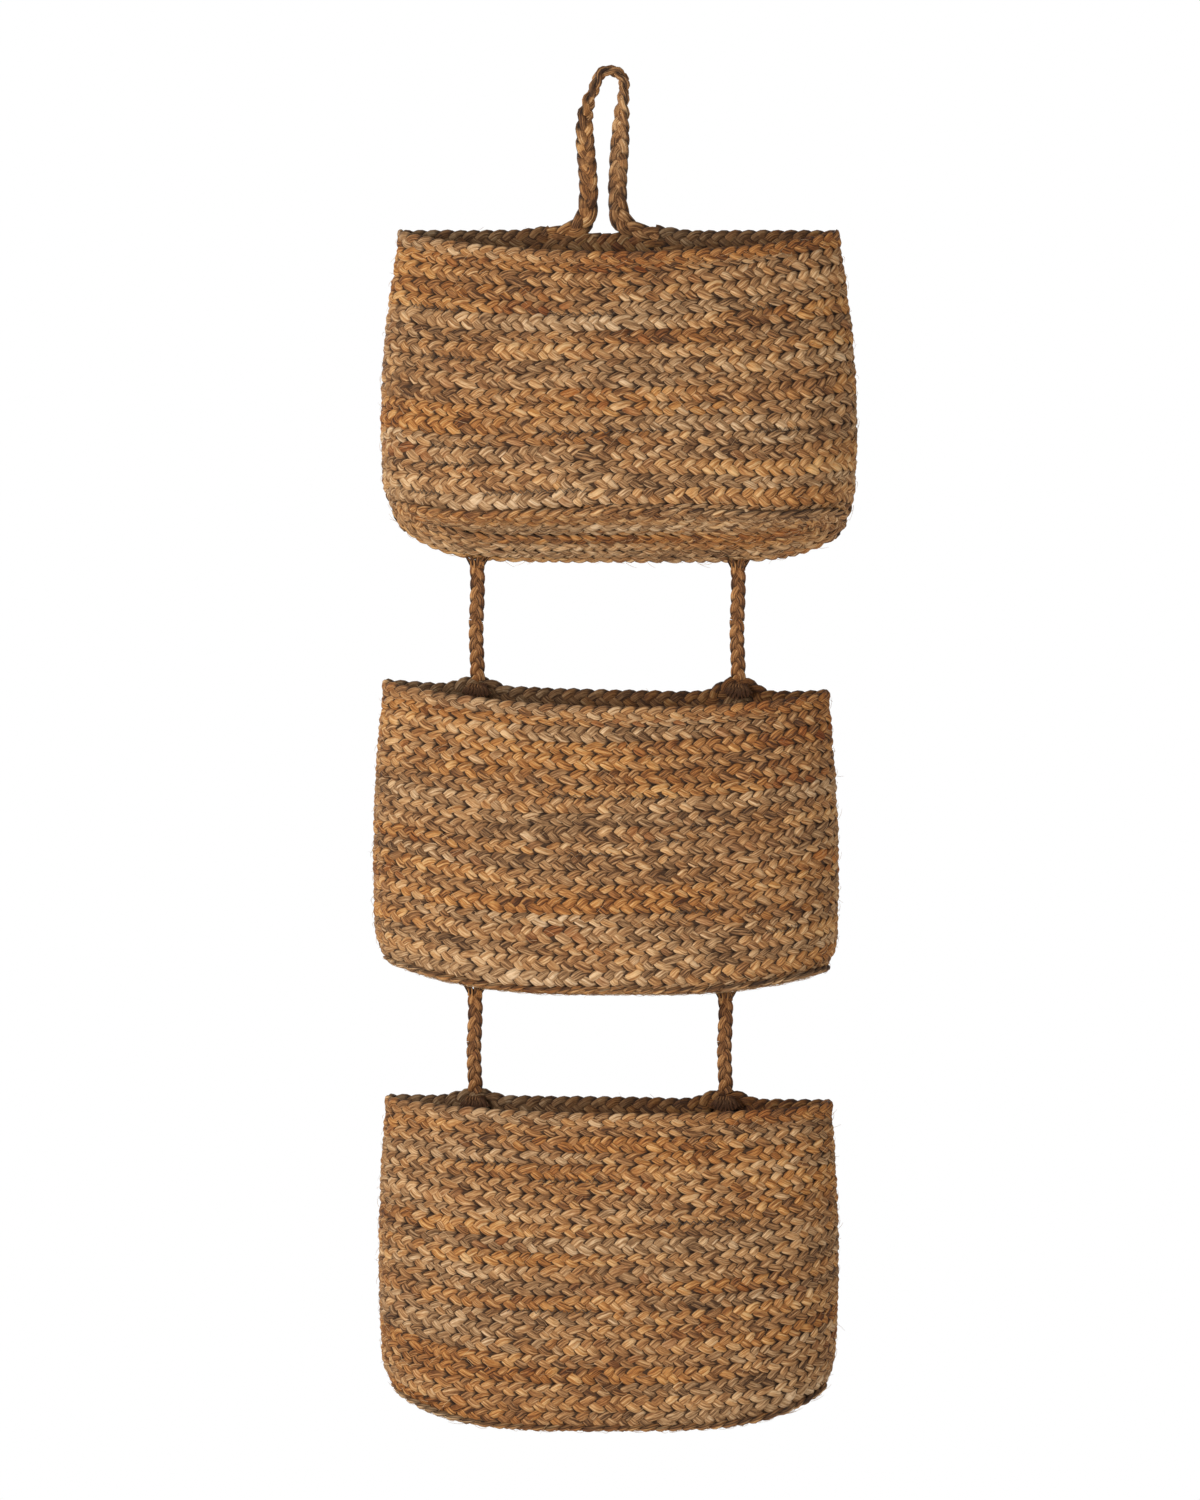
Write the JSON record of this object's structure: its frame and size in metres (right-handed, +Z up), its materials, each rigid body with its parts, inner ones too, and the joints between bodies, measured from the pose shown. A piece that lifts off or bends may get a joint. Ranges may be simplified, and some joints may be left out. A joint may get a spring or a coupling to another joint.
{
  "type": "wall basket",
  "caption": "Hanging wall organiser of coiled jute plait: flat-backed pockets one below the other, joined by link cords and hung from a loop.",
  "frame": {"origin": "where a hook bears inside the top of the loop, in the middle of the strap's width", "axes": "+Z up, +Y towards the wall behind the basket, +X to the right as seen from the room"},
  "size_m": [0.349, 0.08, 0.9784],
  "materials": {
    "loop_plait": "matt flat plait of jute",
    "wall_plait": "matt coiled plait of mixed natural jute",
    "rim_plait": "matt plait of natural jute",
    "floor_plait": "matt coiled plait of natural jute",
    "link_cord": "matt round plait of jute",
    "stitched_end": "matt jute, sewn down and frayed"
  },
  "bodies": {
    "hanging_loop": {"hanging_loop": "loop_plait"},
    "top_basket": {"top_basket_base": "floor_plait", "top_basket_wall": "wall_plait", "top_basket_rim": "rim_plait", "upper_head_left": "stitched_end", "upper_head_right": "stitched_end"},
    "upper_links": {"upper_link_left": "link_cord", "upper_link_right": "link_cord"},
    "middle_basket": {"middle_basket_base": "floor_plait", "middle_basket_wall": "wall_plait", "middle_basket_rim": "rim_plait", "upper_tail_left": "stitched_end", "upper_tail_right": "stitched_end", "lower_head_left": "stitched_end", "lower_head_right": "stitched_end"},
    "lower_links": {"lower_link_left": "link_cord", "lower_link_right": "link_cord"},
    "bottom_basket": {"bottom_basket_base": "floor_plait", "bottom_basket_wall": "wall_plait", "bottom_basket_rim": "rim_plait", "lower_tail_left": "stitched_end", "lower_tail_right": "stitched_end"}
  },
  "joints": [
    {"name": "top_basket_tilt", "type": "hinge", "parent": "hanging_loop", "child": "top_basket", "pos_m": [-0.005, 0.0044, -0.089], "axis": [-1, 0, 0], "range_deg": [0, 60]},
    {"name": "upper_links_swing", "type": "hinge", "parent": "top_basket", "child": "upper_links", "pos_m": [-0.002, 0.0027, -0.35835], "axis": [-1, 0, 0], "range_deg": [0, 40]},
    {"name": "middle_basket_tilt", "type": "hinge", "parent": "upper_links", "child": "middle_basket", "pos_m": [-0.002, 0.0027, -0.43135], "axis": [-1, 0, 0], "range_deg": [0, 35]},
    {"name": "lower_links_swing", "type": "hinge", "parent": "middle_basket", "child": "lower_links", "pos_m": [-0.0073, 0.0027, -0.66817], "axis": [-1, 0, 0], "range_deg": [0, 40]},
    {"name": "bottom_basket_tilt", "type": "hinge", "parent": "lower_links", "child": "bottom_basket", "pos_m": [-0.0073, 0.0027, -0.72847], "axis": [-1, 0, 0], "range_deg": [0, 35]}
  ]
}
